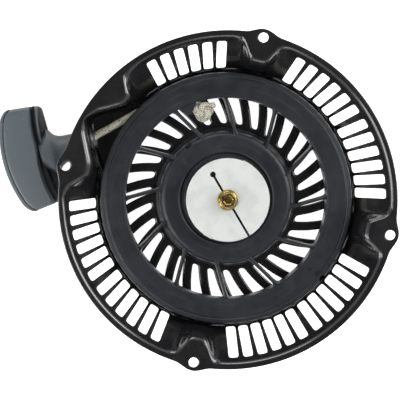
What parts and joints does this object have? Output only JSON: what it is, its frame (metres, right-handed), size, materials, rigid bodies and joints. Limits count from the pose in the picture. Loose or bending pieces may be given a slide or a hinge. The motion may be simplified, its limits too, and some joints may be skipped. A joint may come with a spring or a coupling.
{
  "type": "recoil starter",
  "caption": "Round pull-rope starter for a small engine: a slotted steel case with a spring-loaded rope reel, ratchet pawls, a rope and a T-shaped handle.",
  "frame": {"origin": "on the reel's axis, on the outer flat face of the case", "axes": "+Z along the reel's axis towards the engine, +X across the face away from the side of the handle, +Y across the face"},
  "size_m": [0.2668, 0.2266, 0.048],
  "materials": {
    "case_paint": "gloss black paint on stamped steel",
    "reel_plastic": "moulded charcoal plastic",
    "grip_plastic": "fine-grained slate grey plastic",
    "white_nylon": "translucent off-white nylon",
    "rope_fibre": "braided cream starter rope with dark flecks",
    "yellow_zinc": "yellow zinc plated steel",
    "bright_steel": "bright turned steel",
    "spring_steel": "blued spring steel",
    "bronze": "sintered bronze"
  },
  "bodies": {
    "case": {"starter_case": "case_paint", "rope_guide": "bright_steel", "centre_post": "bright_steel", "centre_screw": "yellow_zinc", "thrust_washer": "bright_steel", "rope_run": "rope_fibre"},
    "reel": {"reel": "reel_plastic", "reel_bush": "bronze", "rope_winding": "rope_fibre", "rope_anchor_knot": "rope_fibre", "mainspring": "spring_steel", "pawl_pin_a": "bright_steel", "pawl_pin_b": "bright_steel", "pawl_spring_a": "spring_steel", "pawl_spring_b": "spring_steel"},
    "guide": {"ratchet_guide": "white_nylon", "friction_spring": "spring_steel"},
    "pawl_a": {"pawl_a": "white_nylon"},
    "pawl_b": {"pawl_b": "white_nylon"},
    "handle": {"handle_grip": "grip_plastic", "handle_cap": "grip_plastic", "handle_washer": "bright_steel", "handle_knot": "rope_fibre", "rope_tail": "rope_fibre"}
  },
  "joints": [
    {"name": "reel_spin", "type": "hinge", "parent": "case", "child": "reel", "pos_m": [0, 0, 0.0156], "axis": [0, 0, 1], "range_deg": [0, 900], "stiffness_Nm_per_rad": 0.08, "springref_deg": -572.96},
    {"name": "handle_pull", "type": "slide", "parent": "case", "child": "handle", "axis": [-0.9636, -0.2672, 0], "range_m": [0, 1.21]},
    {"name": "guide_lag", "type": "hinge", "parent": "reel", "child": "guide", "pos_m": [0, 0, 0.0404], "axis": [0, 0, -1], "range_deg": [0, 25], "stiffness_Nm_per_rad": 0.02, "springref_deg": -11.46},
    {"name": "pawl_a_swing", "type": "hinge", "parent": "reel", "child": "pawl_a", "pos_m": [0.01737, -0.00213, 0.0362], "axis": [0, 0, -1], "range_deg": [0, 20]},
    {"name": "pawl_b_swing", "type": "hinge", "parent": "reel", "child": "pawl_b", "pos_m": [-0.01737, 0.00213, 0.0362], "axis": [0, 0, -1], "range_deg": [0, 20]}
  ],
  "couplings": [
    {"joint": "handle_pull", "follows": "reel_spin", "m_per_rad": 0.077},
    {"joint": "pawl_a_swing", "follows": "guide_lag", "ratio": 0.8},
    {"joint": "pawl_b_swing", "follows": "guide_lag", "ratio": 0.8}
  ]
}
